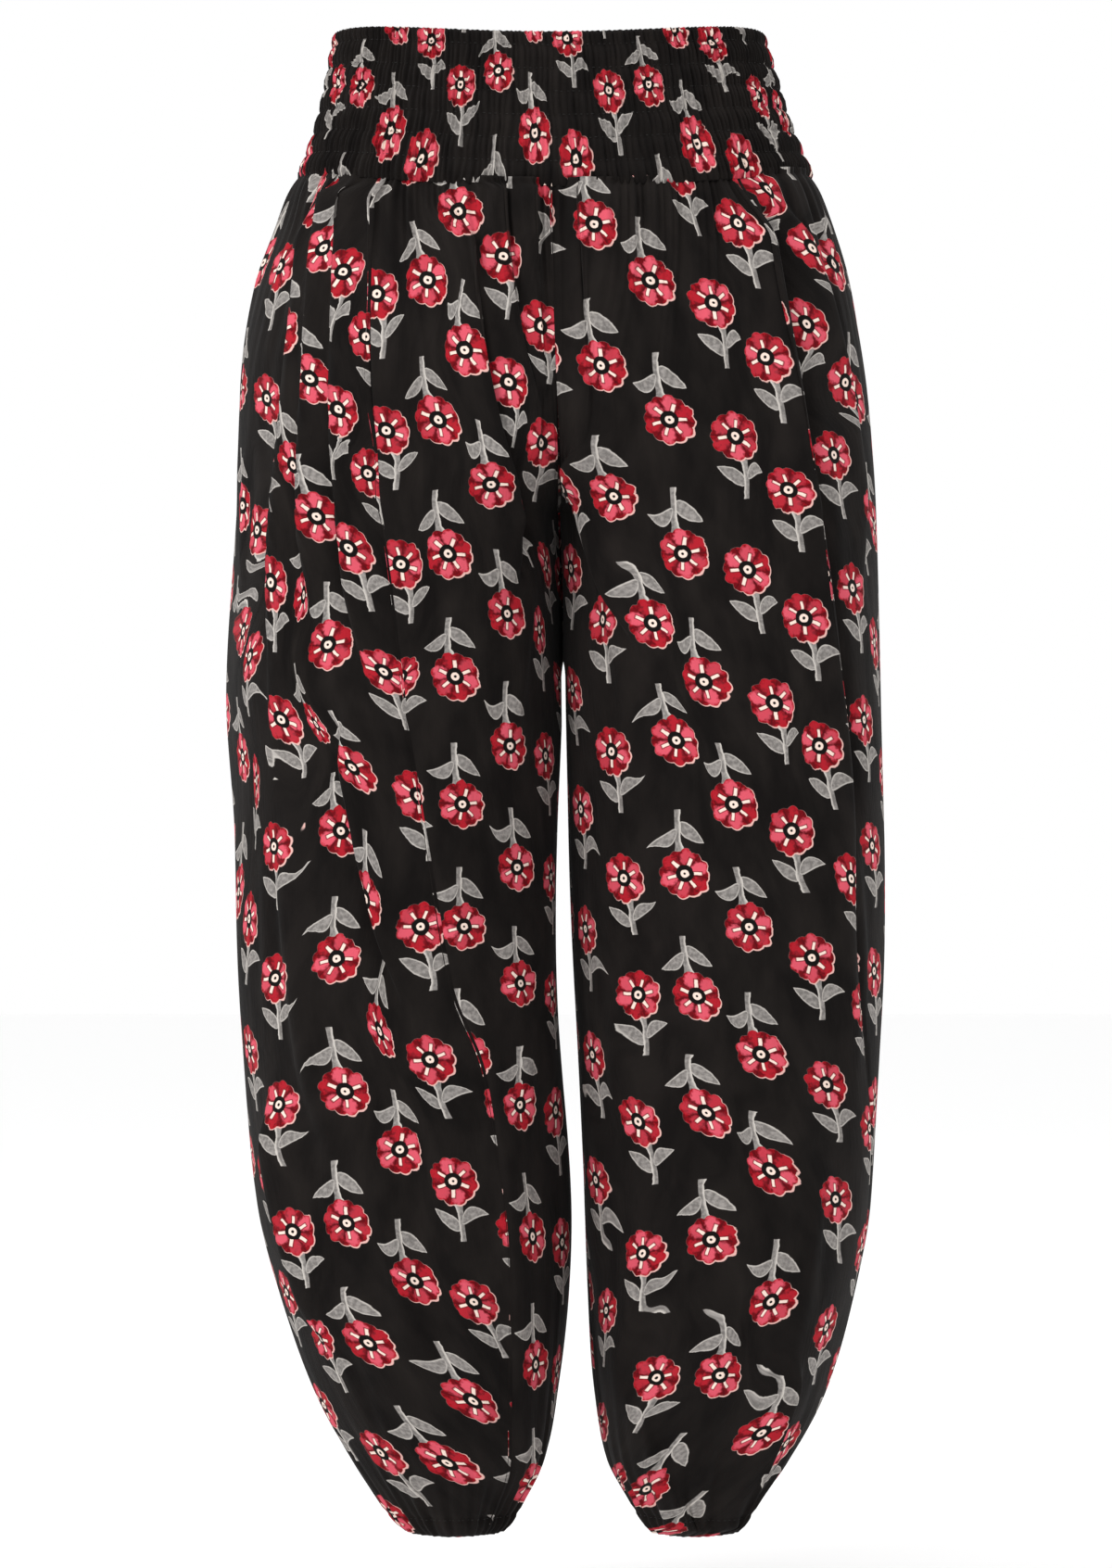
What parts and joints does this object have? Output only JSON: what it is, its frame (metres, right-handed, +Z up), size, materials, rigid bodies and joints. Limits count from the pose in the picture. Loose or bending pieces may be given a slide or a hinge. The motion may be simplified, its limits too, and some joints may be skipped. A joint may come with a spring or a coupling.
{
  "type": "harem pants",
  "caption": "Full loose trousers held open as if worn, with a shirred waistband and legs gathered at the waist seam and at the ankles.",
  "frame": {"origin": "centre of the waist opening, where the wearer's waist holds the garment up", "axes": "+Z up out of the waist, -Y the garment's front, +X to the right as seen from the front"},
  "size_m": [0.4241, 0.2787, 0.966],
  "materials": {
    "printed_cotton": "matt black cotton lawn with a red, pink and grey block-printed flower",
    "shirred_cotton": "the same printed cotton, shirred on rows of elastic"
  },
  "bodies": {
    "root": {"waistband": "shirred_cotton", "leg_front_left": "printed_cotton", "leg_back_left": "printed_cotton", "leg_front_right": "printed_cotton", "leg_back_right": "printed_cotton"}
  },
  "joints": []
}
